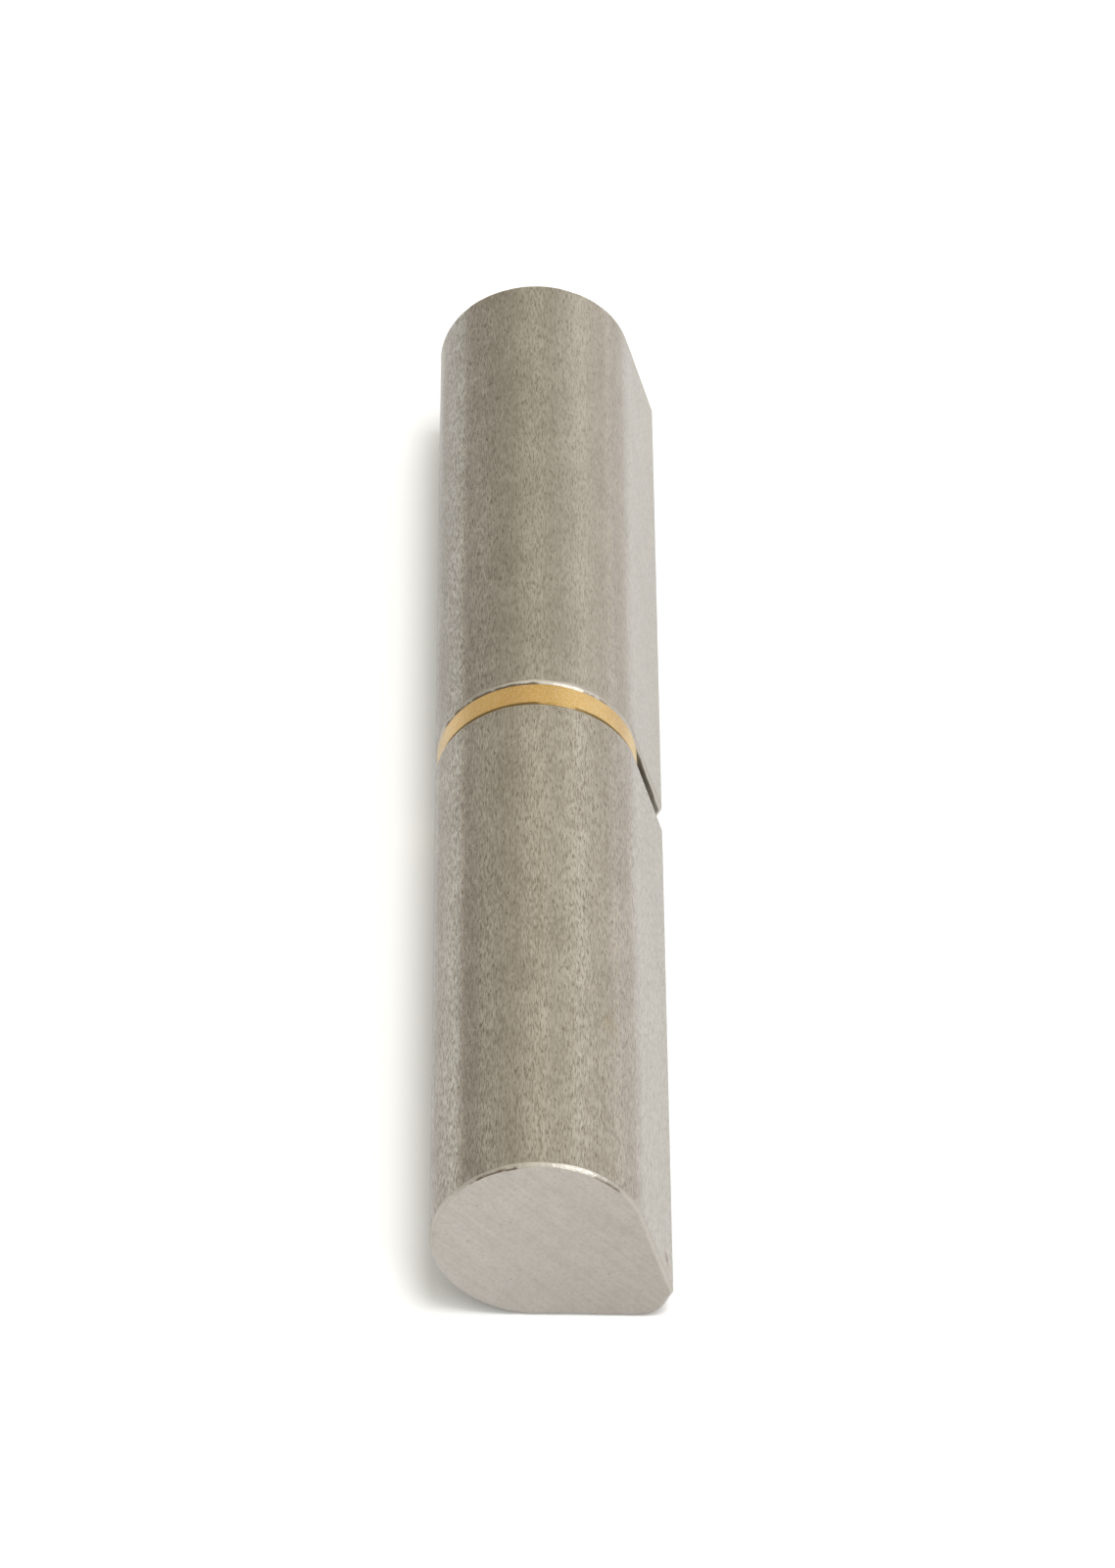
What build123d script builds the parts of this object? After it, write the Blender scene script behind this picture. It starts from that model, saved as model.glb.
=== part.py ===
from build123d import *
import os
from math import cos, radians, sin, tan

# Weld-on hinge: two drop-shaped steel leaves on one pin, with a brass thrust washer between them.
# The hinge lies on one flank, as it comes to rest on a table, and all sizes are in millimetres.
# The pin's axis runs along Y, the leaf that holds the pin is at -Y, and Z is up.
# The origin is on the table, under the middle of the hinge's outline.

# Drop-shaped section of both leaves
body_diameter = 16.0
flank_half_angle = 36.3        # degrees between each flank and the line from the pin to the nose
nose_width = 2.75              # across the middle of the nose, before its edges are rounded
nose_tilt = 10.0               # degrees, how far the flat of the nose faces the upper flank
nose_upper_edge_radius = 0.6
nose_lower_edge_radius = 1.9

# Leaves
leaf_length = 50.0
leaf_end_chamfer = 0.25        # filed edge round both ends of a leaf
solid_end_length = 15.0        # from the end of a bore's full width to the leaf's outer end

# Pin
pin_diameter = 9.0
pin_seat_gap = 0.5             # from the pressed end to the end of its bore's full width
pin_tip_gap = 2.0              # from the free end to the end of its bore's full width
pin_seat_chamfer = 0.4
pin_tip_taper_length = 1.5     # lead-in that guides the upper leaf onto the pin
pin_tip_taper_inset = 0.8

# Bores
running_clearance = 0.05       # on the radius, between the pin and the leaf that turns on it
bore_mouth_chamfer = 0.5
drill_point_angle = 118.0      # degrees

# Thrust washer
washer_thickness = 2.3
washer_rim_inset = 0.1         # how far its rim lies inside the round of the leaves
washer_bore_clearance = 0.15   # on the radius, round the pin
washer_edge_chamfer = 0.15


def drop_section():
    """Section of the drawn bar: a round body with two flanks that run to a blunt nose.

    The pin's axis is at its origin, and the lower flank is level.
    """
    body_radius = body_diameter / 2
    half_angle = radians(flank_half_angle)
    half_nose = nose_width / 2
    nose_reach = (body_radius - half_nose * cos(half_angle)) / sin(half_angle)
    lean = tan(radians(nose_tilt))
    upper_y = half_nose / (1 - lean * tan(half_angle))
    lower_y = half_nose / (1 + lean * tan(half_angle))
    flank_x = body_radius * sin(half_angle)
    flank_y = body_radius * cos(half_angle)
    with BuildSketch() as section:
        with BuildLine():
            Polyline((flank_x, flank_y), (nose_reach - lean * upper_y, upper_y),
                     (nose_reach + lean * lower_y, -lower_y), (flank_x, -flank_y))
            ThreePointArc((flank_x, -flank_y), (-body_radius, 0), (flank_x, flank_y))
        make_face()
        upper_edge = section.vertices().filter_by(lambda v: v.Y > 0).sort_by(Axis.X)[-1]
        fillet(upper_edge, nose_upper_edge_radius)
        lower_edge = section.vertices().filter_by(lambda v: v.Y < 0).sort_by(Axis.X)[-1]
        fillet(lower_edge, nose_lower_edge_radius)
    return Rot(0, 0, -flank_half_angle) * section.sketch


section = drop_section()
outline = section.bounding_box()
axis_x = -(outline.min.X + outline.max.X) / 2
axis_z = -outline.min.Y
pin_radius = pin_diameter / 2
bore_depth = leaf_length - solid_end_length
lower_mouth_y = -washer_thickness / 2
upper_mouth_y = washer_thickness / 2
pin_seat_y = lower_mouth_y - bore_depth + pin_seat_gap
pin_tip_y = upper_mouth_y + bore_depth - pin_tip_gap


def along_axis(y, direction):
    """Place on the pin's axis, looking along it towards +Y or -Y."""
    return Plane(origin=(axis_x, y, axis_z), x_dir=(1, 0, 0), z_dir=(0, direction, 0))


def blind_bore(radius):
    """Space that a drill clears, from its mouth at the origin up to the point that it leaves."""
    point_depth = radius / tan(radians(drill_point_angle / 2))
    half_section = make_face(Polyline(
        (0, 0),
        (radius + bore_mouth_chamfer, 0),
        (radius, bore_mouth_chamfer),
        (radius, bore_depth),
        (0, bore_depth + point_depth),
        close=True,
    ))
    return revolve(Plane.XZ * half_section, Axis.Z)


def leaf(mouth_y, direction, bore_radius):
    """One leaf, cut from the drawn bar and drilled from the end that faces the washer."""
    far_end_y = max(mouth_y, mouth_y + direction * leaf_length)
    bar = extrude(along_axis(far_end_y, -1) * section, leaf_length)
    end_edges = bar.faces().filter_by(Axis.Y).edges()
    bar = chamfer(end_edges, leaf_end_chamfer)
    return bar - along_axis(mouth_y, direction) * blind_bore(bore_radius)


def hinge_pin():
    """Turned pin, with a small chamfer at its pressed end and a lead-in at its free end."""
    length = pin_tip_y - pin_seat_y
    half_section = make_face(Polyline(
        (0, 0),
        (pin_radius - pin_seat_chamfer, 0),
        (pin_radius, pin_seat_chamfer),
        (pin_radius, length - pin_tip_taper_length),
        (pin_radius - pin_tip_taper_inset, length),
        (0, length),
        close=True,
    ))
    return along_axis(pin_seat_y, 1) * revolve(Plane.XZ * half_section, Axis.Z)


def thrust_washer():
    """Brass ring that carries the upper leaf, with its sharp edges taken off."""
    rim = Cylinder(body_diameter / 2 - washer_rim_inset, washer_thickness)
    bore = Cylinder(pin_radius + washer_bore_clearance, washer_thickness)
    ring = rim - bore
    ring = chamfer(ring.edges().filter_by(GeomType.CIRCLE), washer_edge_chamfer)
    return along_axis(0, 1) * ring


pieces = {
    "lower_leaf": leaf(lower_mouth_y, -1, pin_radius),
    "upper_leaf": leaf(upper_mouth_y, 1, pin_radius + running_clearance),
    "hinge_pin": hinge_pin(),
    "thrust_washer": thrust_washer(),
}

os.makedirs("parts", exist_ok=True)
for name, piece in pieces.items():
    export_step(piece, f"parts/{name}.step")
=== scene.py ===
import math
import bpy
import numpy as np
from mathutils import Matrix, Vector, noise


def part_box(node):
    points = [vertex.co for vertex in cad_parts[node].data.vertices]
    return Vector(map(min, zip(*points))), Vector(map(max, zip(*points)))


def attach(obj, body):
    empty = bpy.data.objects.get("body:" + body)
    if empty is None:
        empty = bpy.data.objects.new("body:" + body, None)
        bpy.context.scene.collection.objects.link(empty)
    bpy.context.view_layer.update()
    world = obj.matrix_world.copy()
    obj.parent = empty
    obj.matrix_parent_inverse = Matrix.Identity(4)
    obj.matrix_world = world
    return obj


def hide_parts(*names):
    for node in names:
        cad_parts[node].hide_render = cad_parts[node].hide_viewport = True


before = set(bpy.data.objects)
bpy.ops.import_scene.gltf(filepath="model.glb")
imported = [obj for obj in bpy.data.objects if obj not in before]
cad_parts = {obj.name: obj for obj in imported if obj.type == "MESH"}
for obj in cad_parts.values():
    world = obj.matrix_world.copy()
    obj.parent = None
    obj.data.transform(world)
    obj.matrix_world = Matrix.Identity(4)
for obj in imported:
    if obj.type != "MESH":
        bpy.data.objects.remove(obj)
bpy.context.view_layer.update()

# A weld-on hinge on a white table: leaves of raw drawn steel, a brass washer and a turned pin.
# Lengths are in millimetres until a mesh is made. The pin's axis runs along Y.

MM = 0.001


def node_box(name):
    """Lowest and highest corner of a CAD node, in millimetres."""
    low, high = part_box(name)
    return low / MM, high / MM


# Places taken from the CAD nodes
lower_low, lower_high = node_box("lower_leaf")
upper_low, upper_high = node_box("upper_leaf")
pin_low, pin_high = node_box("hinge_pin")
washer_low, washer_high = node_box("thrust_washer")
axis_x = (pin_low.x + pin_high.x) / 2
axis_z = (pin_low.z + pin_high.z) / 2
body_radius = axis_z
pin_radius = (pin_high.x - pin_low.x) / 2
leaf_length = upper_high.y - upper_low.y
washer_radius = (washer_high.x - washer_low.x) / 2
washer_thickness = washer_high.y - washer_low.y

# Drop section of the leaves
flank_half_angle = math.radians(36.3)
nose_width = 2.75
nose_tilt = math.radians(10)
nose_upper_radius = 0.6
nose_lower_radius = 1.9

# Ends and bores of the leaves
end_edge_width = 0.26
upper_mouth_edge_width = 0.40
end_edge_unevenness = 0.3
edge_broad_size, edge_fine_size = 4.0, 0.9
edge_fine_share = 0.6
edge_least, edge_most = 0.6, 1.4
film_fade = 0.6
film_line = 0.08
solid_end_length = 15.0
bore_depth = leaf_length - solid_end_length
running_clearance = 0.05
bore_mouth_chamfer = 0.5
drill_point_half_angle = math.radians(59)

# Rings over a filed edge: how far along the bar and into it, in edge widths, and how filed it is, which
# paints it lighter as filed steel with a painted highlight
edge_steps = (
    (0.0, 1.0, 0.4),
    (0.14, 0.72, 1.0),
    (0.62, 0.2, 1.0),
    (1.0, 0.0, 0.0),
    (1.12, 0.0, 0.0),
)

# Pin and washer
pin_seat_chamfer = 0.4
pin_tip_taper_length = 1.5
pin_tip_taper_inset = 0.8
washer_bore_clearance = 0.15
washer_bore_radius = pin_radius + washer_bore_clearance
washer_edge = 0.15
washer_crown = 0.012
stain_and_shade_shares = (1.0, 1.0, 1.0, 0.8)

# Shape of the drawn bar's surface
draw_stretch = (1, 0.45, 1)
draw_wave_depth = 0.008
draw_wave_size = 4.0
dimple_depth = 0.002
dimple_size = 0.9
flank_calm = 0.9
noise_steps = (13.7, 5.3, 9.1)

# How finely the meshes are divided
nose_arc_points = 7
nose_flat_points = 9
flank_points = 34
round_points = 150
ring_spacing = 0.32
end_face_shares = (0.12, 0.35, 0.6, 0.82, 1.0)
mouth_face_shares = (0.0, 0.35, 0.7, 1.0)
bore_rings = 24
drill_point_shares = (0.35, 0.7)
lathe_points = 192
shank_rings = 60
rim_rings = 13
sharp_angle = math.radians(28)

# Camera, as fitted to the photograph
photo_height = 1600
camera_yaw = math.radians(1.484)
camera_pitch = math.radians(42.648)
camera_roll = math.radians(1.777)
camera_distance = 521.73
camera_target = Vector((axis_x + 1.661, 0.0, 6.328))
camera_focal_px = 6737.7
camera_sensor = 36.0
camera_nearest, camera_furthest = 0.01, 100.0


# Meshes

def line_between(start, end, count):
    """Points strictly between two others, evenly spaced."""
    steps = np.linspace(0, 1, count + 2)[1:-1, None]
    return np.asarray(start) * (1 - steps) + np.asarray(end) * steps


def rounded_corner(corner, radius, first, last, count):
    """Points and normals of the arc that rounds a corner. The angles are those of its sides' normals."""
    sides = np.array([[math.cos(first), math.sin(first)], [math.cos(last), math.sin(last)]])
    centre = np.asarray(corner) - radius * sides.sum(axis=0) / (1 + sides[0] @ sides[1])
    angles = np.linspace(first, last, count)
    normals = np.column_stack([np.cos(angles), np.sin(angles)])
    return centre + radius * normals, normals


def drop_outline():
    """Points round the drop section and their outward normals, as X and Z about the pin's axis.

    They start on the nose's lower edge, go up over the nose, round the body and back along the
    lower flank. The third array is 1 on the flanks and the nose and 0 on the round.
    """
    normal_turn = math.pi / 2 - flank_half_angle
    reach = (body_radius - nose_width / 2 * math.cos(flank_half_angle)) / math.sin(flank_half_angle)
    lean = math.tan(nose_tilt)
    upper_y = nose_width / 2 / (1 - lean * math.tan(flank_half_angle))
    lower_y = nose_width / 2 / (1 + lean * math.tan(flank_half_angle))
    upper_corner = (reach - lean * upper_y, upper_y)
    lower_corner = (reach + lean * lower_y, -lower_y)
    stretches = [
        rounded_corner(lower_corner, nose_lower_radius, -normal_turn, nose_tilt, nose_arc_points),
        rounded_corner(upper_corner, nose_upper_radius, nose_tilt, normal_turn, nose_arc_points),
    ]
    angles = np.linspace(normal_turn, 2 * math.pi - normal_turn, round_points)
    normals = np.column_stack([np.cos(angles), np.sin(angles)])
    stretches.append((body_radius * normals, normals))
    points, normals, flatness = [], [], []
    for index, line_points in enumerate((nose_flat_points, flank_points, flank_points)):
        arc, arc_normals = stretches[index]
        next_arc, next_normals = stretches[(index + 1) % 3]
        line = line_between(arc[-1], next_arc[0], line_points)
        points += [arc, line]
        normals += [arc_normals, line_between(arc_normals[-1], next_normals[0], line_points)]
        flatness += [np.full(len(arc), float(index < 2)), np.ones(line_points)]
    cos_a, sin_a = math.cos(flank_half_angle), math.sin(flank_half_angle)
    level = np.array([[cos_a, -sin_a], [sin_a, cos_a]])
    return np.vstack(points) @ level, np.vstack(normals) @ level, np.concatenate(flatness)


def on_axis(section, y):
    """Ring of mesh points from a section about the pin's axis, at one or many places along it."""
    return np.column_stack([
        section[:, 0] + axis_x,
        np.broadcast_to(y, len(section)),
        section[:, 1] + axis_z,
    ])


def skin(name, rings, band_materials, materials, start_tip=None, end_tip=None, attributes=None):
    """Mesh piece whose surface runs from ring to ring.

    A tip closes an end with a fan of triangles. With no tips the last ring joins the first.
    """
    count = len(rings[0])
    vertices = np.vstack(rings)
    closed = start_tip is None
    faces, indices = [], []
    around = np.arange(count)
    beside = (around + 1) % count
    for band in range(len(rings) if closed else len(rings) - 1):
        near = band * count
        far = (band + 1) % len(rings) * count
        faces += np.column_stack([near + around, near + beside, far + beside, far + around]).tolist()
        indices += [band_materials[band]] * count
    if not closed:
        vertices = np.vstack([vertices, start_tip, end_tip])
        first, last = len(vertices) - 2, len(vertices) - 1
        end = (len(rings) - 1) * count
        faces += [[first, b, a] for a, b in zip(around.tolist(), beside.tolist())]
        faces += [[last, end + a, end + b] for a, b in zip(around.tolist(), beside.tolist())]
        indices += [band_materials[0]] * count + [band_materials[-1]] * count
    mesh = bpy.data.meshes.new(name)
    mesh.from_pydata((vertices * MM).tolist(), [], faces)
    for material in materials:
        mesh.materials.append(material)
    mesh.polygons.foreach_set("material_index", indices)
    for key, values in (attributes or {}).items():
        layer = mesh.attributes.new(key, "FLOAT", "POINT")
        spread = np.zeros(len(vertices))
        spread[:len(rings) * count] = np.concatenate(values)
        layer.data.foreach_set("value", spread)
    mesh.shade_smooth()
    mesh.set_sharp_from_angle(angle=sharp_angle)
    mesh.validate()
    piece = bpy.data.objects.new(name, mesh)
    bpy.context.scene.collection.objects.link(piece)
    return piece


def uneven(points, size, seed):
    """Smooth noise from -1 to 1 at each point, with bumps of about the given size."""
    shift = Vector([seed * step for step in noise_steps])
    return np.array([noise.noise(Vector(point) / size + shift) for point in points.tolist()])


def edge_widths(ring, flatness, width, seed):
    """How wide the filed edge of a leaf is at each point round it. It is widest on the round."""
    broad = uneven(ring, edge_broad_size, seed)
    fine = uneven(ring, edge_fine_size, seed + 1)
    mean_width = width + (end_edge_width - width) * flatness
    uneven_share = 1 + end_edge_unevenness * (broad + edge_fine_share * fine)
    return mean_width * np.clip(uneven_share, edge_least, edge_most)


def bar_relief(ring, flatness, seed):
    """Depth of the shallow waves and dimples that the drawn bar keeps, always inwards."""
    stretched = ring * np.array(draw_stretch)
    waves = uneven(stretched, draw_wave_size, seed)
    dimples = uneven(stretched, dimple_size, seed + 2)
    depth = draw_wave_depth * (1 + waves) / 2 + dimple_depth * (1 + dimples) / 2
    return depth * (1 - flank_calm * flatness)


def film_along(section, stretches):
    """How much brown film lies on an edge at each point round it. Some of it is painted: a dark
    reflection on the near end's upper left edge, and shade where the washer meets the lower leaf.

    Each stretch is on the upper side, with its ends along X from the axis and its strength.
    """
    film = np.zeros(len(section))
    for start, end, strength in stretches:
        inside = np.minimum(section[:, 0] - start, end - section[:, 0]) / film_fade
        film = np.maximum(film, strength * np.clip(inside, 0, 1) * (section[:, 1] > 0))
    return film


def leaf_piece(name, mouth_y, direction, bore_radius, seed, materials,
               outer_film, mouth_film, mouth_edge_width=end_edge_width):
    """One leaf as a closed skin: outer face, filed edge, sides, inner face, bore and drill point.

    Its bar, sawn, turned and drilled surfaces are the materials 0 to 3.
    """
    bar, sawn, turned, drilled = range(4)
    section, normals, flatness = drop_outline()
    outer_y = mouth_y + direction * leaf_length
    rings, bands, edge, film, flank = [], [], [], [], []

    def add(ring, band, filed=0.0, filmed=0.0):
        rings.append(ring)
        bands.append(band)
        edge.append(np.broadcast_to(filed, len(section)))
        film.append(np.broadcast_to(filmed, len(section)))
        flank.append(flatness)

    def add_edge(width, end_y, inwards, filmed, steps, past_edge):
        """Rings over a filed edge, and the material of the surface that follows them."""
        for along, inset, filed in steps:
            ring_y = end_y + inwards * width * along
            share = min(along, 1.0)
            relief = bar_relief(on_axis(section, ring_y), flatness, seed) * share
            depth = width * inset + relief
            add(on_axis(section - normals * depth[:, None], ring_y), sawn, filed, filmed * (1 - share))
        bands[-1] = past_edge

    outer_width = edge_widths(on_axis(section, outer_y), flatness, end_edge_width, seed)
    mouth_width = edge_widths(on_axis(section, mouth_y), flatness, mouth_edge_width, seed + 4)
    outer_rim = section - normals * (outer_width + film_line)[:, None]
    mouth_rim = section - normals * (mouth_width + film_line)[:, None]
    for share in end_face_shares:
        add(on_axis(outer_rim * share, outer_y), sawn)
    add_edge(outer_width, outer_y, -direction, film_along(section, outer_film), edge_steps, bar)
    body = leaf_length - outer_width.max() - mouth_width.max()
    steps = round(body / ring_spacing)
    body_start = outer_y - direction * outer_width
    body_end = mouth_y + direction * mouth_width
    for step in range(1, steps):
        blend = step / steps
        ring_y = body_start * (1 - blend) + body_end * blend
        relief = bar_relief(on_axis(section, ring_y), flatness, seed)
        add(on_axis(section - normals * relief[:, None], ring_y), bar)
    add_edge(mouth_width, mouth_y, direction, film_along(section, mouth_film), edge_steps[::-1], turned)
    towards = section / np.linalg.norm(section, axis=1)[:, None]
    mouth = towards * (bore_radius + bore_mouth_chamfer)
    for share in mouth_face_shares:
        add(on_axis(mouth_rim * (1 - share) + mouth * share, mouth_y), turned)
    for depth in np.linspace(bore_mouth_chamfer, bore_depth, bore_rings):
        add(on_axis(towards * bore_radius, mouth_y + direction * depth), drilled)
    point_depth = bore_radius / math.tan(drill_point_half_angle)
    for share in drill_point_shares:
        depth = bore_depth + point_depth * share
        add(on_axis(towards * bore_radius * (1 - share), mouth_y + direction * depth), drilled)
    start_tip = (axis_x, outer_y, axis_z)
    end_tip = (axis_x, mouth_y + direction * (bore_depth + point_depth), axis_z)
    attributes = {"edge": edge, "film": film, "flank": flank}
    return skin(name, rings, bands, materials, start_tip, end_tip, attributes)


def lathe_ring(radius, y):
    angles = np.linspace(0, 2 * math.pi, lathe_points, endpoint=False)
    return on_axis(np.column_stack([np.cos(angles), np.sin(angles)]) * radius, y)


def pin_piece(name, materials):
    """Turned pin: faced ends, a small chamfer where it is pressed in, and a lead-in at its free end.

    Its profile lists radius and place along the axis. The small offsets soften its corners.
    """
    start, end = pin_low.y, pin_high.y
    seat_edge = pin_radius - pin_seat_chamfer
    tip_edge = pin_radius - pin_tip_taper_inset
    taper_start = end - pin_tip_taper_length
    profile = [
        (0.4 * seat_edge, start),
        (0.97 * seat_edge, start),
        (seat_edge + 0.04, start + 0.04),
        (pin_radius - 0.03, start + pin_seat_chamfer - 0.02),
        (pin_radius, start + pin_seat_chamfer + 0.06),
    ]
    shank = np.linspace(start + pin_seat_chamfer + 0.6, taper_start - 0.3, shank_rings)
    profile += [(pin_radius, y) for y in shank]
    profile += [
        (pin_radius - 0.005, taper_start - 0.05),
        (pin_radius - 0.05, taper_start + 0.12),
        (tip_edge + 0.12, end - 0.24),
        (tip_edge - 0.03, end - 0.06),
        (tip_edge - 0.15, end),
        (0.9 * tip_edge, end),
        (0.6 * tip_edge, end),
        (0.3 * tip_edge, end),
    ]
    rings = [lathe_ring(radius, y) for radius, y in profile]
    tips = (axis_x, start, axis_z), (axis_x, end, axis_z)
    return skin(name, rings, [0] * len(rings), materials, *tips)


def washer_piece(name, materials, stained):
    """Brass ring with broken edges and a rim that the lathe tool left very slightly crowned.

    Its edge towards the lower leaf is stained along the given stretches, and the stain also paints the
    shade where it meets the lower leaf.
    """
    low, high = washer_low.y, washer_high.y
    outside = [
        (washer_radius - washer_edge, low),
        (washer_radius - 0.4 * washer_edge, low + 0.12 * washer_edge),
        (washer_radius - 0.12 * washer_edge, low + 0.4 * washer_edge),
    ]
    for share in np.linspace(0, 1, rim_rings):
        y = low + washer_edge + (washer_thickness - 2 * washer_edge) * share
        outside.append((washer_radius - washer_crown * (2 * share - 1) ** 2, y))
    outside += [(radius, low + high - y) for radius, y in reversed(outside[:3])]
    inside = [
        (washer_bore_radius + washer_edge, high),
        (washer_bore_radius, high - washer_edge),
        (washer_bore_radius, (low + high) / 2),
        (washer_bore_radius, low + washer_edge),
        (washer_bore_radius + washer_edge, low),
    ]
    middle = (washer_radius + washer_bore_radius) / 2
    profile = outside + [(middle, high)] + inside + [(middle, low)]
    rings = [lathe_ring(radius, y) for radius, y in profile]
    stain = film_along(rings[0][:, [0, 2]] - [axis_x, axis_z], stained)
    clean_rings = len(rings) - len(stain_and_shade_shares)
    film = [stain * share for share in stain_and_shade_shares] + [stain * 0] * clean_rings
    return skin(name, rings, [0] * len(rings), materials, attributes={"film": film})


# Materials

class Shader:
    """One material, whose nodes are wired up by plain calls. Sizes are in millimetres."""

    def __init__(self, name):
        self.material = bpy.data.materials.new(name)
        self.material.use_nodes = True
        self.tree = self.material.node_tree
        self.surface = self.tree.nodes["Principled BSDF"]
        self.place = self.add("ShaderNodeTexCoord").outputs["Object"]
        self.height = None

    def add(self, kind, **settings):
        node = self.tree.nodes.new(kind)
        for key, value in settings.items():
            setattr(node, key, value)
        return node

    def put(self, socket, value):
        """Links a node's output to a socket, or sets a plain value on it."""
        if isinstance(value, bpy.types.NodeSocket):
            self.tree.links.new(value, socket)
        else:
            socket.default_value = value

    def scaled(self, size, slant=0.0):
        """Object coordinates divided by a size in millimetres along each axis, turned about Y first."""
        place = self.place
        if slant:
            turned = self.add("ShaderNodeVectorRotate", rotation_type="Y_AXIS")
            self.put(turned.inputs["Vector"], place)
            self.put(turned.inputs["Angle"], slant)
            place = turned.outputs["Vector"]
        spot = self.add("ShaderNodeMapping", vector_type="POINT")
        self.put(spot.inputs["Vector"], place)
        self.put(spot.inputs["Scale"], [1 / (length * MM) for length in size])
        return spot.outputs["Vector"]

    def clouds(self, size, detail=2.0, roughness=0.5, seed=0.0, slant=0.0):
        """Noise from 0 to 1 with features of the given size along X, Y and Z."""
        texture = self.add("ShaderNodeTexNoise", noise_dimensions="4D")
        self.put(texture.inputs["Vector"], self.scaled(size, slant))
        self.put(texture.inputs["W"], seed)
        self.put(texture.inputs["Scale"], 1.0)
        self.put(texture.inputs["Detail"], detail)
        self.put(texture.inputs["Roughness"], roughness)
        return texture.outputs[0]

    def attribute(self, name):
        return self.add("ShaderNodeAttribute", attribute_name=name).outputs["Fac"]

    def between(self, value, low, high, to_low=0.0, to_high=1.0):
        """Value from to_low to to_high as the input goes from low to high."""
        step = self.add("ShaderNodeMapRange", interpolation_type="SMOOTHSTEP")
        for socket, number in zip(("Value", "From Min", "From Max", "To Min", "To Max"),
                                  (value, low, high, to_low, to_high)):
            self.put(step.inputs[socket], number)
        return step.outputs["Result"]

    def maths(self, operation, first, second=0.0):
        step = self.add("ShaderNodeMath", operation=operation)
        self.put(step.inputs[0], first)
        self.put(step.inputs[1], second)
        return step.outputs[0]

    def times(self, first, second):
        return self.maths("MULTIPLY", first, second)

    def mixed(self, amount, first, second):
        """Colour that goes from first to second by an amount."""
        step = self.add("ShaderNodeMix", data_type="RGBA")
        self.put(step.inputs[0], amount)
        self.put(step.inputs[6], first)
        self.put(step.inputs[7], second)
        return step.outputs[2]

    def near(self, point, reach):
        """1 at a point of the object and 0 from the given reach outwards, in millimetres."""
        apart = self.add("ShaderNodeVectorMath", operation="DISTANCE")
        self.put(apart.inputs[0], self.place)
        self.put(apart.inputs[1], [length * MM for length in point])
        return self.between(apart.outputs["Value"], 0.0, reach * MM, 1.0, 0.0)

    def tinted(self, colour, other, noise, reach, strength):
        """Colour with some of another where the noise is high. Its reach is from none of it to all."""
        return self.mixed(self.between(noise, *reach, 0.0, strength), colour, other)

    def dimmed(self, colour, amount):
        """Colour times an amount."""
        step = self.add("ShaderNodeVectorMath", operation="SCALE")
        self.put(step.inputs[0], colour)
        self.put(step.inputs["Scale"], amount)
        return step.outputs[0]

    def coordinate(self, letter, start=0.0):
        """Distance along X, Y or Z from a start, in millimetres."""
        split = self.add("ShaderNodeSeparateXYZ")
        self.put(split.inputs[0], self.place)
        return self.maths("SUBTRACT", self.times(split.outputs[letter], 1 / MM), start)

    def across_axis(self):
        return self.coordinate("X", axis_x)

    def from_axis(self):
        """Distance from the pin's axis, in millimetres."""
        across, up = self.across_axis(), self.coordinate("Z", axis_z)
        return self.maths("SQRT", self.maths("ADD", self.times(across, across), self.times(up, up)))

    def raise_by(self, height, depth):
        """Adds relief: height from 0 to 1 over a depth in millimetres."""
        bump = self.add("ShaderNodeBump")
        self.put(bump.inputs["Strength"], 1.0)
        self.put(bump.inputs["Distance"], depth * MM)
        self.put(bump.inputs["Height"], height)
        if self.height is not None:
            self.put(bump.inputs["Normal"], self.height)
        self.height = bump.outputs["Normal"]

    def finish(self, colour, roughness, metallic=1.0):
        self.put(self.surface.inputs["Base Color"], colour)
        self.put(self.surface.inputs["Roughness"], roughness)
        self.put(self.surface.inputs["Metallic"], metallic)
        if self.height is not None:
            self.put(self.surface.inputs["Normal"], self.height)
        return self.material


def tone_ramp(tree, value, tones):
    """Colour that follows a list of (value, colour) pairs."""
    first, last = tones[0][0], tones[-1][0]
    across = tree.nodes.new("ShaderNodeMapRange")
    across.inputs["From Min"].default_value = first
    across.inputs["From Max"].default_value = last
    tree.links.new(value, across.inputs["Value"])
    ramp = tree.nodes.new("ShaderNodeValToRGB")
    ramp.color_ramp.interpolation = "EASE"
    stops = ramp.color_ramp.elements
    stops[0].color, stops[1].color = tones[0][1], tones[-1][1]
    for place, colour in tones[1:-1]:
        stops.new((place - first) / (last - first)).color = colour
    tree.links.new(across.outputs["Result"], ramp.inputs["Fac"])
    return ramp.outputs["Color"]


# Linear colours
steel_colour = (0.59, 0.55, 0.495, 1)
steel_light = (0.66, 0.62, 0.565, 1)
steel_dark = (0.40, 0.365, 0.315, 1)
grain_dark = (0.35, 0.315, 0.265, 1)
grain_light = (0.70, 0.665, 0.61, 1)
pit_colour = (0.27, 0.235, 0.19, 1)
sawn_colour = (0.62, 0.585, 0.552, 1)
filed_highlight_colour = (0.76, 0.735, 0.69, 1)
faced_gap_shade_colour = (0.37, 0.345, 0.30, 1)
faced_dark = (0.20, 0.18, 0.145, 1)
brown_film_and_painted_reflection = (0.16, 0.11, 0.07, 1)
yellow_film = (0.47, 0.38, 0.22, 1)
tan_film = (0.48, 0.355, 0.22, 1)
rust_colour = (0.22, 0.10, 0.05, 1)
pin_colour = (0.62, 0.60, 0.57, 1)
brass_dark = (0.66, 0.42, 0.15, 1)
brass_stain_and_shade = (0.16, 0.10, 0.03, 1)
brass_pink = (0.88, 0.66, 0.42, 1)

# Where most values of a noise lie, from its low to its high ones
noise_range = (0.3, 0.7)

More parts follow.
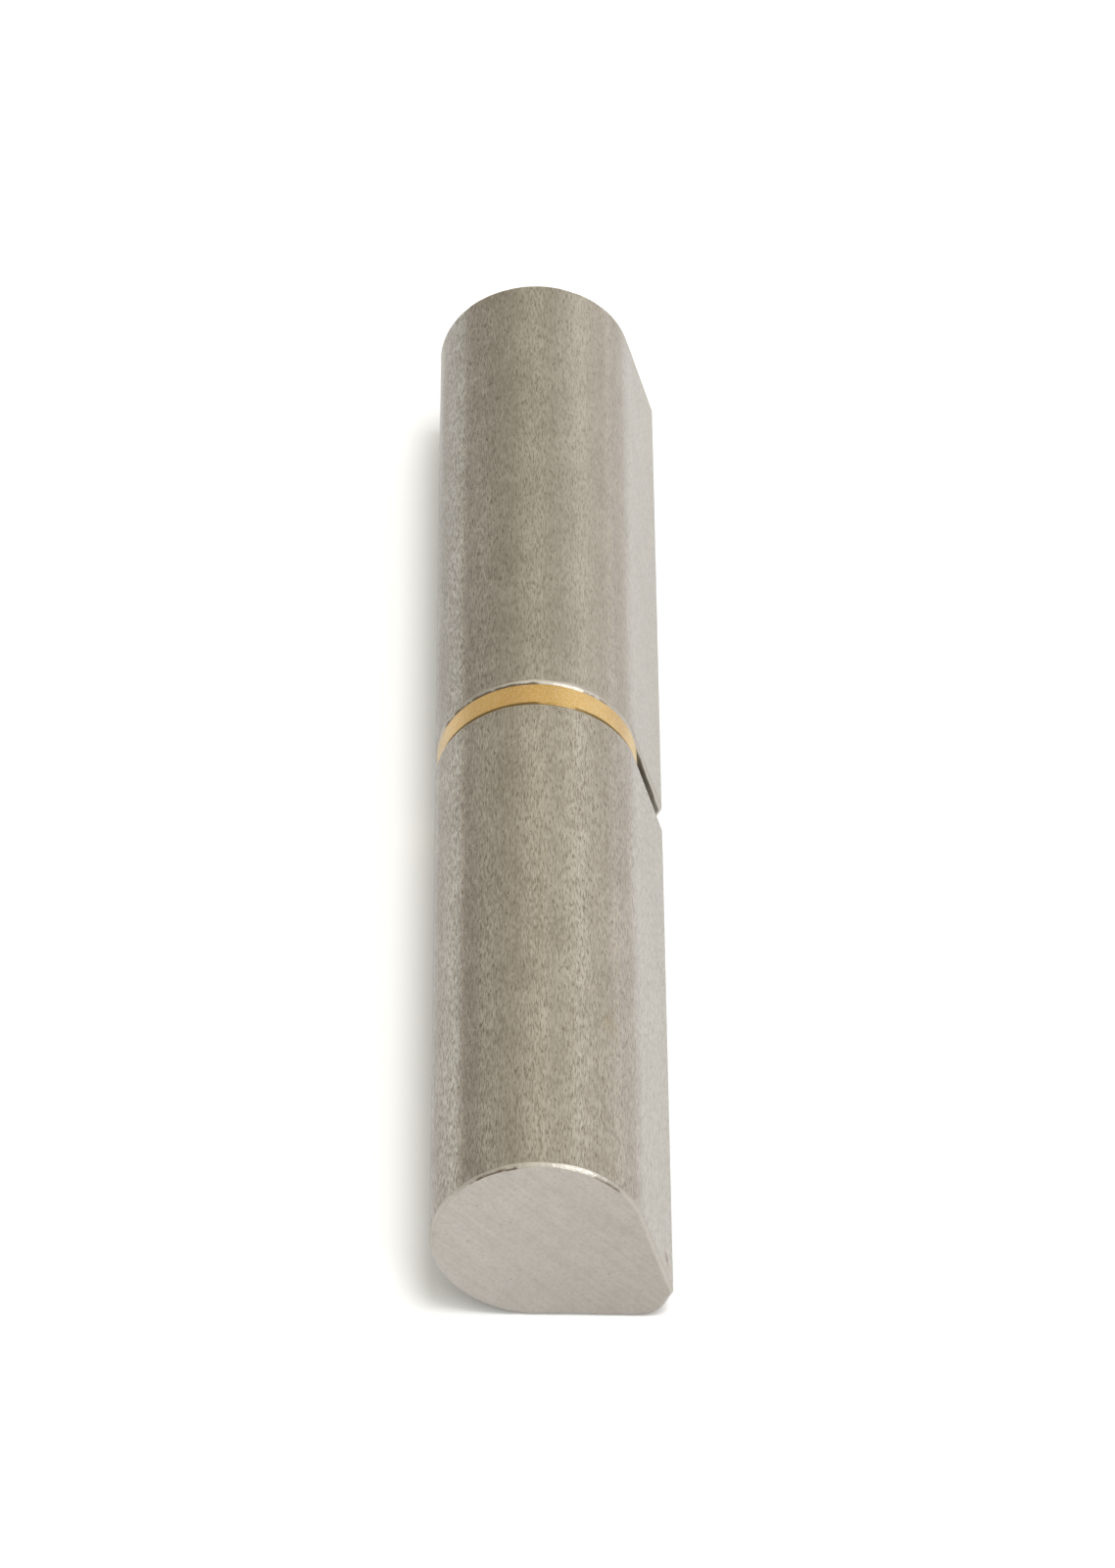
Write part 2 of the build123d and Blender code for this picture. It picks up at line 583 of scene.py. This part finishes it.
# Surface of the drawn bar. Here and below, sizes and depths are in millimetres
peel_size = (0.09, 0.72, 0.09)
peel_depth = 0.006
peel_dark, peel_light = 0.85, 0.70
peel_low, peel_high = (0.28, 0.54), (0.46, 0.72)
pit_size = (0.105, 0.58, 0.105)
pit_depth = 0.010
pit_range = (0.52, 0.70)
mottle_size, mottle_tint, mottle_range = (0.6, 1.3, 0.6), 0.65, (0.30, 0.60)
blotch_size, blotch_tint, blotch_range = (3.0, 6.0, 3.0), 0.60, (0.30, 0.66)
streak_size, streak_tint, streak_depth = (0.25, 30.0, 0.25), 0.12, 0.002
mark_size, mark_range = (0.22, 0.4, 0.22), (0.34, 0.66)
flank_texture = 0.35
flank_grain = 2.6
bar_roughness = (0.16, 0.13)

# Stretches along X from the axis over which the bar's grain and its painted shade change
left_stretch = (-7.5, -1.0)
right_stretch = (0.5, 4.5)
painted_shade_stretch = (2.2, 4.4)


def bar_material(name, seed, painted_shades, grains, marks=()):
    """Raw drawn steel: cloudy all over, with short pits and flecks along the bar.

    The flanks are smoother than the round and have faint streaks along them. Its brightness left and
    right is painted shade, darker on its left than on its right, and the grains are how coarse it is on
    its left, middle and right.
    """
    steel = Shader(name)
    across, flank = steel.across_axis(), steel.attribute("flank")
    left, middle, right = grains
    texture = steel.between(flank, 0, 1, 1.0, flank_texture)
    texture = steel.times(texture, steel.between(across, *left_stretch, left, middle))
    texture = steel.times(texture, steel.between(across, *right_stretch, 1.0, right / middle))
    fine = steel.times(texture, steel.between(flank, 0, 1, 1.0, flank_grain))
    blotches = steel.clouds(blotch_size, detail=2, seed=seed)
    mottles = steel.clouds(mottle_size, detail=2, roughness=0.6, seed=seed + 1)
    peel = steel.clouds(peel_size, detail=1.5, seed=seed + 2)
    dashes = steel.clouds(pit_size, detail=1, seed=seed + 3)
    streaks = steel.clouds(streak_size, detail=2, seed=seed + 4)
    broad = steel.times(steel.between(blotches, *blotch_range, blotch_tint, 0.0), texture)
    middling = steel.times(steel.between(mottles, *mottle_range, mottle_tint, 0.0), texture)
    low = steel.times(steel.between(peel, *peel_low, peel_dark, 0.0), fine)
    high = steel.times(steel.between(peel, *peel_high, 0.0, peel_light), fine)
    pits = steel.times(steel.between(dashes, *pit_range), fine)
    colour = steel.mixed(broad, steel_colour, steel_dark)
    colour = steel.mixed(middling, colour, steel_dark)
    colour = steel.mixed(low, colour, grain_dark)
    colour = steel.mixed(high, colour, grain_light)
    colour = steel.mixed(pits, colour, pit_colour)
    colour = steel.tinted(colour, steel_dark, streaks, noise_range, streak_tint)
    # Painted shade: the bar is painted darker on its left than on its right
    colour = steel.dimmed(colour, steel.between(across, *painted_shade_stretch, *painted_shades))
    for film, point, reach, strength in marks:
        ragged = steel.clouds(mark_size, detail=4, roughness=0.65, seed=seed + 7)
        spot = steel.times(steel.near(point, reach), steel.between(ragged, *mark_range))
        colour = steel.mixed(steel.times(spot, strength), colour, film)
    steel.raise_by(steel.times(peel, fine), peel_depth)
    steel.raise_by(steel.maths("SUBTRACT", 1.0, pits), pit_depth)
    steel.raise_by(streaks, streak_depth)
    return steel.finish(colour, steel.between(blotches, *noise_range, *bar_roughness))


# Sawn ends of the bar
saw_slant = math.radians(-45)
saw_line_size, saw_line_tint, saw_line_depth = (9.0, 9.0, 0.30), 0.22, 0.004
end_grain_size, end_grain_tint, end_grain_depth = (0.25, 0.25, 0.25), 0.30, 0.002
end_grain_range = (0.40, 0.70)
end_cloud_size, end_cloud_tint = (3.5, 3.5, 3.5), 0.20
end_stain_size, end_stain_tint = (1.3, 1.3, 1.3), 0.16
end_mark_range = (0.35, 0.70)
# Painted shade that darkens the sawn end towards the table: its height and strength
end_painted_shade_height, end_painted_shade_tint = 14.0, 0.18
end_roughness = (0.36, 0.42)
speck_reach, speck_tint = 0.14, 0.6
edge_highlight_share = 0.55
film_patch_size, film_patch_range, film_patches = (0.8, 0.8, 0.8), (0.3, 0.6), (0.5, 1.2)
film_range, film_tint = (0.35, 0.95), 0.85
nick_size, nick_depth = (0.45, 0.45, 0.45), 0.06


def sawn_material(name, seed, specks):
    """Sawn end of the bar, ground smooth, with faint slanting saw lines and a few dark specks.

    It has painted shade that makes it a little darker towards the table, and a brown film is left in
    places along its edge. On the near end's upper left edge the film also paints a dark reflection. Its
    filed edge is painted lighter, as filed steel and as a painted highlight.
    """
    steel = Shader(name)
    lines = steel.clouds(saw_line_size, detail=2, roughness=0.55, seed=seed, slant=saw_slant)
    grain = steel.clouds(end_grain_size, detail=2, seed=seed + 1)
    clouds = steel.clouds(end_cloud_size, detail=2, seed=seed + 2)
    stains = steel.clouds(end_stain_size, detail=3, roughness=0.6, seed=seed + 4)
    # Painted shade: the end is painted darker towards the table
    painted_table_shade = steel.between(steel.coordinate("Z"), 0.0, end_painted_shade_height, end_painted_shade_tint, 0.0)
    colour = steel.mixed(painted_table_shade, sawn_colour, steel_dark)
    colour = steel.tinted(colour, steel_light, clouds, noise_range, end_cloud_tint)
    colour = steel.tinted(colour, steel_dark, stains, end_mark_range, end_stain_tint)
    colour = steel.tinted(colour, steel_dark, lines, end_mark_range, saw_line_tint)
    colour = steel.tinted(colour, steel_dark, grain, end_grain_range, end_grain_tint)
    for point in specks:
        speck = steel.times(steel.near(point, speck_reach), speck_tint)
        colour = steel.mixed(speck, colour, pit_colour)
    edge = steel.attribute("edge")
    # Filed edge painted lighter: partly bright filed steel, partly a painted highlight
    colour = steel.mixed(steel.times(edge, edge_highlight_share), colour, filed_highlight_colour)
    ragged = steel.clouds(film_patch_size, detail=3, seed=seed + 3)
    patches = steel.between(ragged, *film_patch_range, *film_patches)
    patchy = steel.times(steel.attribute("film"), patches)
    # Brown film along the edges, which on the near end's upper left edge also paints a dark reflection
    colour = steel.tinted(colour, brown_film_and_painted_reflection, patchy, film_range, film_tint)
    nicks = steel.clouds(nick_size, detail=2, seed=seed + 5)
    steel.raise_by(steel.times(nicks, edge), nick_depth)
    steel.raise_by(lines, saw_line_depth)
    steel.raise_by(grain, end_grain_depth)
    return steel.finish(colour, steel.between(clouds, *noise_range, *end_roughness))


# Turned faces beside the washer
feed_spacing, feed_depth = 0.14, 0.006
face_grain_size, face_grain_depth = (0.1, 0.1, 0.1), 0.002
face_cloud_size, face_cloud_range, face_cloud_tint = (2.0, 2.0, 2.0), (0.4, 0.75), 0.35
face_roughness = (0.28, 0.4)


def faced_material(name, seed):
    """Turned face: rings round the axis, a little stained, and painted dark as the shade between the
    leaves and the washer.
    """
    steel = Shader(name)
    grain = steel.clouds(face_grain_size, seed=seed)
    clouds = steel.clouds(face_cloud_size, detail=3, seed=seed + 1)
    wave = steel.maths("SINE", steel.times(steel.from_axis(), 2 * math.pi / feed_spacing))
    # Painted shade: the turned faces are painted dark for the shade between the leaves and the washer
    colour = steel.tinted(faced_gap_shade_colour, faced_dark, clouds, face_cloud_range, face_cloud_tint)
    steel.raise_by(steel.times(steel.maths("ADD", wave, 1.0), 0.5), feed_depth)
    steel.raise_by(grain, face_grain_depth)
    return steel.finish(colour, steel.between(clouds, *noise_range, *face_roughness))


# Bores
drill_line_size, drill_line_depth = (8.0, 0.18, 8.0), 0.008
bore_cloud_size, bore_cloud_tints = (2.0, 4.0, 2.0), (0.2, 0.7)
bore_roughness = 0.42


def drilled_material(name):
    """Drilled bore: lines round it from the drill, and cloudy steel."""
    steel = Shader(name)
    lines = steel.clouds(drill_line_size, detail=2, seed=3.0)
    clouds = steel.clouds(bore_cloud_size, detail=2, seed=4.0)
    colour = steel.mixed(steel.between(clouds, *noise_range, *bore_cloud_tints), steel_colour, steel_dark)
    steel.raise_by(lines, drill_line_depth)
    return steel.finish(colour, bore_roughness)


# Pin
pin_feed_size, pin_feed_depth = (6.0, 0.07, 6.0), 0.0025
scuff_size, scuff_range, scuff_tint = (0.9, 0.12, 0.9), (0.62, 0.78), 0.3
pin_cloud_size, pin_cloud_range, pin_cloud_tint = (3.0, 6.0, 3.0), (0.35, 0.75), 0.25
pin_roughness = (0.2, 0.3)


def pin_material(name):
    """Bright turned steel with fine feed lines, and scuffs where the leaf turns on it."""
    steel = Shader(name)
    feed = steel.clouds(pin_feed_size, detail=1, seed=1.0)
    scuffs = steel.clouds(scuff_size, detail=2, seed=2.0)
    clouds = steel.clouds(pin_cloud_size, detail=3, seed=3.0)
    colour = steel.tinted(pin_colour, steel_dark, clouds, pin_cloud_range, pin_cloud_tint)
    colour = steel.tinted(colour, steel_dark, scuffs, scuff_range, scuff_tint)
    steel.raise_by(feed, pin_feed_depth)
    return steel.finish(colour, steel.between(clouds, *noise_range, *pin_roughness))


# Washer
brass_cloud_size, brass_cloud_range, brass_cloud_tint = (2.6, 1.6, 2.6), (0.35, 0.7), 0.25
brass_grain_size, brass_grain_depth = (0.16, 0.16, 0.16), 0.003
brass_dark_range, brass_dark_tint = (0.36, 0.54), 0.45
brass_pink_range, brass_pink_tint = (0.46, 0.66), 0.55
brass_line_size, brass_line_depth = (5.0, 0.09, 5.0), 0.003
stain_and_shade_patch_range, stain_and_shade_patches = (0.3, 0.5), (0.75, 1.1)
stain_and_shade_range, stain_and_shade_tint = (0.2, 0.95), 0.85
brass_roughness = (0.34, 0.40)

# Tone of the brass rim, by X from the axis: a painted reflection, paler at both sides and deeper gold in
# the middle
brass_painted_reflection_tones = (
    (-8.0, (0.96, 0.83, 0.55, 1)),
    (-6.5, (0.925, 0.665, 0.33, 1)),
    (-4.0, (0.885, 0.595, 0.222, 1)),
    (-1.2, (0.725, 0.47, 0.167, 1)),
    (0.6, (0.73, 0.48, 0.165, 1)),
    (2.6, (0.90, 0.645, 0.28, 1)),
    (5.1, (0.935, 0.69, 0.325, 1)),
    (6.6, (0.83, 0.61, 0.315, 1)),
    (7.6, (1.0, 0.82, 0.46, 1)),
)


def brass_material(name):
    """Rolled and turned brass: finely grained with pale flecks, a little tarnished, and painted paler at
    both sides and deeper gold in the middle as a painted reflection.
    """
    brass = Shader(name)
    clouds = brass.clouds(brass_cloud_size, detail=3, seed=1.0)
    grain = brass.clouds(brass_grain_size, detail=2, seed=2.0)
    lines = brass.clouds(brass_line_size, detail=2, seed=3.0)
    # Painted reflection: the brass is painted paler at both sides and deeper gold in the middle
    colour = tone_ramp(brass.tree, brass.across_axis(), brass_painted_reflection_tones)
    colour = brass.tinted(colour, brass_dark, clouds, brass_cloud_range, brass_cloud_tint)
    dark_grain = brass.between(grain, *brass_dark_range, brass_dark_tint, 0.0)
    colour = brass.mixed(dark_grain, colour, brass_dark)
    colour = brass.tinted(colour, brass_pink, grain, brass_pink_range, brass_pink_tint)
    patches = brass.between(clouds, *stain_and_shade_patch_range, *stain_and_shade_patches)
    patchy = brass.times(brass.attribute("film"), patches)
    # Stain on the edge towards the lower leaf, which also paints the shade where the washer meets it and
    # dims the highlight there
    colour = brass.tinted(colour, brass_stain_and_shade, patchy, stain_and_shade_range, stain_and_shade_tint)
    brass.raise_by(grain, brass_grain_depth)
    brass.raise_by(lines, brass_line_depth)
    return brass.finish(colour, brass.between(clouds, *noise_range, *brass_roughness))


# Stage

floor_size = 6.0
floor_colour = (0.915, 0.94, 0.985, 1)
floor_lift = 0.05

# Tone of the table top in reflections, by X in metres: painted light and shadow, darker beside the hinge
# on the left where its shadow falls and far off to the left, away from the light
floor_painted_light_tones = (
    (-0.200, (0.394, 0.373, 0.334, 1)),
    (-0.150, (0.584, 0.599, 0.604, 1)),
    (-0.045, (0.584, 0.604, 0.624, 1)),
    (-0.027, (0.558, 0.564, 0.594, 1)),
    (-0.017, (0.494, 0.489, 0.499, 1)),
    (-0.009, (0.663, 0.678, 0.714, 1)),
    (0.009, (0.594, 0.604, 0.624, 1)),
    (0.018, (0.619, 0.624, 0.658, 1)),
    (0.024, (0.558, 0.553, 0.569, 1)),
    (0.150, (0.663, 0.658, 0.668, 1)),
)

# How far up a direction points where the room starts and ends getting brighter, and by how much
overhead_glow = (0.74, 0.93, 1.0, 1.4)

# Directions in which the room is dimmer, low down on the right, and how bright it is there
low_side_steps = (
    ("X", (0.0, 0.5, 0.0, 1.0)),
    ("Y", (0.35, 0.65, 1.0, 0.0)),
    ("Z", (0.0, 0.65, 1.0, 0.0)),
)
low_side_level = 0.68

# Colours of the room, by how far a direction points towards +X
room_tones = (
    (-0.68, (0.445, 0.425, 0.37, 1)),
    (-0.64, (0.60, 0.575, 0.505, 1)),
    (-0.60, (0.60, 0.575, 0.505, 1)),
    (-0.46, (0.555, 0.525, 0.452, 1)),
    (-0.32, (0.60, 0.565, 0.485, 1)),
    (-0.10, (0.765, 0.735, 0.625, 1)),
    (0.04, (0.825, 0.79, 0.68, 1)),
    (0.20, (0.735, 0.705, 0.615, 1)),
    (0.36, (0.845, 0.815, 0.73, 1)),
    (0.50, (0.955, 0.925, 0.85, 1)),
    (0.64, (0.80, 0.77, 0.705, 1)),
    (1.00, (0.80, 0.765, 0.70, 1)),
)

# Lamps, with their directions seen from the hinge
overhead_energy = 1.56
overhead_angle = math.radians(24)
overhead_colour = (1.0, 0.985, 0.96)
overhead_direction = (0.16, -0.12, 0.98)
softbox_energy = 0.48
softbox_size = 0.28
softbox_distance = 0.6
softbox_direction = (0.47, -0.64, 0.61)


def smooth_step(tree, value, step):
    """Value from a step's third number to its fourth, as the input goes from its first to its second."""
    node = tree.nodes.new("ShaderNodeMapRange")
    node.interpolation_type = "SMOOTHSTEP"
    tree.links.new(value, node.inputs["Value"])
    for name, number in zip(("From Min", "From Max", "To Min", "To Max"), step):
        node.inputs[name].default_value = number
    return node.outputs["Result"]


def product(tree, first, second):
    node = tree.nodes.new("ShaderNodeMath")
    node.operation = "MULTIPLY"
    tree.links.new(first, node.inputs[0])
    tree.links.new(second, node.inputs[1])
    return node.outputs[0]


def floor_material():
    """White table top. It shows white to the camera, and keeps the shadow.

    Its tone in reflections is painted light and shadow, and changes from left to right.
    """
    material = bpy.data.materials.new("table_white")
    material.use_nodes = True
    tree = material.node_tree
    tree.nodes.clear()

    def add(kind, **settings):
        node = tree.nodes.new(kind)
        for key, value in settings.items():
            setattr(node, key, value)
        return node

    place = add("ShaderNodeTexCoord")
    split = add("ShaderNodeSeparateXYZ")
    path = add("ShaderNodeLightPath")
    shown = add("ShaderNodeMix", data_type="RGBA")
    shown.inputs[6].default_value = floor_colour
    direct = add("ShaderNodeMath", operation="MAXIMUM")
    seen = add("ShaderNodeMath", operation="MAXIMUM")
    lift = add("ShaderNodeMath", operation="MULTIPLY")
    lift.inputs[1].default_value = floor_lift
    diffuse = add("ShaderNodeBsdfDiffuse")
    glow = add("ShaderNodeEmission")
    both = add("ShaderNodeAddShader")
    output = add("ShaderNodeOutputMaterial")
    links = (
        (place.outputs["Object"], split.inputs[0]),
        (path.outputs["Is Glossy Ray"], shown.inputs[0]),
        (tone_ramp(tree, split.outputs["X"], floor_painted_light_tones), shown.inputs[7]),
        (shown.outputs[2], diffuse.inputs["Color"]),
        (path.outputs["Is Camera Ray"], direct.inputs[0]),
        (path.outputs["Is Transmission Ray"], direct.inputs[1]),
        (direct.outputs[0], seen.inputs[0]),
        (path.outputs["Is Glossy Ray"], seen.inputs[1]),
        (seen.outputs[0], lift.inputs[0]),
        (lift.outputs[0], glow.inputs["Strength"]),
        (diffuse.outputs[0], both.inputs[0]),
        (glow.outputs[0], both.inputs[1]),
        (both.outputs[0], output.inputs["Surface"]),
    )
    for start, end in links:
        tree.links.new(start, end)
    return material


def add_floor():
    half = floor_size / 2
    corners = [(-half, -half, 0), (half, -half, 0), (half, half, 0), (-half, half, 0)]
    mesh = bpy.data.meshes.new("table_top")
    mesh.from_pydata(corners, [], [(0, 1, 2, 3)])
    mesh.materials.append(floor_material())
    floor = bpy.data.objects.new("table_top", mesh)
    bpy.context.scene.collection.objects.link(floor)


def add_room():
    """Soft room light, dim on the left, bright on the right and brightest overhead.

    Low down on the right, where only the side views see it in the metal, the room is dimmer.
    """
    world = bpy.data.worlds.new("studio")
    bpy.context.scene.world = world
    world.use_nodes = True
    tree = world.node_tree
    direction = tree.nodes.new("ShaderNodeTexCoord")
    split = tree.nodes.new("ShaderNodeSeparateXYZ")
    tree.links.new(direction.outputs["Generated"], split.inputs[0])
    level = smooth_step(tree, split.outputs["Z"], overhead_glow)
    dimmer = None
    for letter, step in low_side_steps:
        share = smooth_step(tree, split.outputs[letter], step)
        dimmer = share if dimmer is None else product(tree, dimmer, share)
    shade = smooth_step(tree, dimmer, (0.0, 1.0, 1.0, low_side_level))
    brighter = tree.nodes.new("ShaderNodeVectorMath")
    brighter.operation = "SCALE"
    background = tree.nodes["Background"]
    tree.links.new(tone_ramp(tree, split.outputs["X"], room_tones), brighter.inputs[0])
    tree.links.new(product(tree, level, shade), brighter.inputs["Scale"])
    tree.links.new(brighter.outputs[0], background.inputs["Color"])
    background.inputs["Strength"].default_value = 1.0


def aim(thing, towards_light):
    """Turns a lamp so that it shines from a direction."""
    thing.rotation_euler = Vector(towards_light).to_track_quat("Z", "Y").to_euler()


def add_key_light():
    """Large soft light overhead, a little to the right and towards the camera.

    It lights the table and casts the shadow. The metal reflects the room and the softbox instead.
    """
    lamp = bpy.data.lights.new("overhead_light", "SUN")
    lamp.energy = overhead_energy
    lamp.angle = overhead_angle
    lamp.color = overhead_colour
    light = bpy.data.objects.new("overhead_light", lamp)
    light.visible_glossy = False
    aim(light, overhead_direction)
    bpy.context.scene.collection.objects.link(light)


def add_side_light():
    """Softbox in front on the right, which picks out the filed edges."""
    lamp = bpy.data.lights.new("front_softbox", "AREA")
    lamp.shape = "DISK"
    lamp.size = softbox_size
    lamp.energy = softbox_energy
    light = bpy.data.objects.new("front_softbox", lamp)
    direction = Vector(softbox_direction).normalized()
    light.location = direction * softbox_distance
    aim(light, direction)
    bpy.context.scene.collection.objects.link(light)


def add_camera():
    """Camera at the photograph's viewing angle: raised, straight over the hinge's near end."""
    yaw, pitch, roll = camera_yaw, camera_pitch, camera_roll
    forward = Vector((math.sin(yaw) * math.cos(pitch), math.cos(yaw) * math.cos(pitch), -math.sin(pitch)))
    level_right = Vector((math.cos(yaw), -math.sin(yaw), 0))
    level_up = level_right.cross(forward)
    right = math.cos(roll) * level_right + math.sin(roll) * level_up
    up = math.cos(roll) * level_up - math.sin(roll) * level_right
    data = bpy.data.cameras.new("photo_camera")
    data.sensor_fit = "AUTO"
    data.sensor_width = camera_sensor
    data.lens = camera_focal_px / photo_height * camera_sensor
    data.clip_start = camera_nearest
    data.clip_end = camera_furthest
    camera = bpy.data.objects.new("photo_camera", data)
    turn = Matrix((right, up, -forward)).transposed().to_4x4()
    camera.matrix_world = Matrix.Translation((camera_target - forward * camera_distance) * MM) @ turn
    bpy.context.scene.collection.objects.link(camera)
    bpy.context.scene.camera = camera


def dress(piece, body, node):
    """Makes a piece ride on a CAD body in the place of a CAD node."""
    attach(piece, body)
    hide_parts(node)


# Assembly

# Specks on the near end, by X and Z
speck_places = ((-2.9, 13.3), (-3.1, 9.9), (-6.2, 7.9), (-3.0, 3.9), (4.2, 4.6), (6.7, 2.8), (-5.6, 11.6))

# Marks on the near leaf: their film, place, reach and strength
lower_marks = (
    (tan_film, (8.60, -49.6, 4.0), 0.8, 2.6),
    (rust_colour, (8.49, -49.25, 4.36), 0.62, 3.6),
    (yellow_film, (4.1, -34.7, 14.2), 1.3, 0.6),
)

# How bright each bar is painted left and right, which is painted shade, and how coarse on its left,
# middle and right
lower_painted_shades, lower_grains = (1.0, 1.02), (1.25, 0.85, 0.87)
upper_painted_shades, upper_grains = (0.885, 0.98), (1.25, 0.74, 0.56)

# Film on the edges: from and to along X from the axis, and its strength
# On the left of the near end's upper edge this film also paints a dark reflection
lower_outer_film_and_reflection = ((-5.6, -1.3, 1.0), (3.6, 6.4, 0.75))
lower_mouth_film = ((-6.0, 0.0, 0.9), (2.2, 7.0, 0.9))
upper_mouth_film = ((-7.8, 0.6, 1.4), (3.0, 6.4, 1.0))
# The washer's stain also paints the shade where it meets the lower leaf
washer_stains_and_shade = ((-7.4, 0.4, 1.0), (-0.4, 3.2, 0.5), (2.4, 7.8, 1.0))

# Seeds of the noise in the materials and the meshes
lower_bar_seed, upper_bar_seed, sawn_seed, faced_seed = 21.0, 47.0, 11.0, 5.0
lower_mesh_seed, upper_mesh_seed = 1, 11

lower_bar = bar_material("drawn_steel_lower", lower_bar_seed, lower_painted_shades, lower_grains, lower_marks)
upper_bar = bar_material("drawn_steel_upper", upper_bar_seed, upper_painted_shades, upper_grains)
sawn = sawn_material("sawn_steel", sawn_seed, [(x, lower_low.y, z) for x, z in speck_places])
faced = faced_material("faced_steel", faced_seed)
drilled = drilled_material("drilled_steel")

lower = leaf_piece("lower_leaf_steel", lower_high.y, -1, pin_radius, lower_mesh_seed,
                   [lower_bar, sawn, faced, drilled],
                   outer_film=lower_outer_film_and_reflection, mouth_film=lower_mouth_film)
upper = leaf_piece("upper_leaf_steel", upper_low.y, 1, pin_radius + running_clearance, upper_mesh_seed,
                   [upper_bar, sawn, faced, drilled],
                   outer_film=(), mouth_film=upper_mouth_film, mouth_edge_width=upper_mouth_edge_width)
pin = pin_piece("turned_pin", [pin_material("turned_steel")])
washer = washer_piece("brass_washer", [brass_material("brass")], washer_stains_and_shade)

dress(lower, "pin_leaf", "lower_leaf")
dress(upper, "turning_leaf", "upper_leaf")
dress(pin, "pin_leaf", "hinge_pin")
dress(washer, "washer", "thrust_washer")

add_floor()
add_room()
add_key_light()
add_side_light()
add_camera()

view = bpy.context.scene.view_settings
view.view_transform = "Standard"
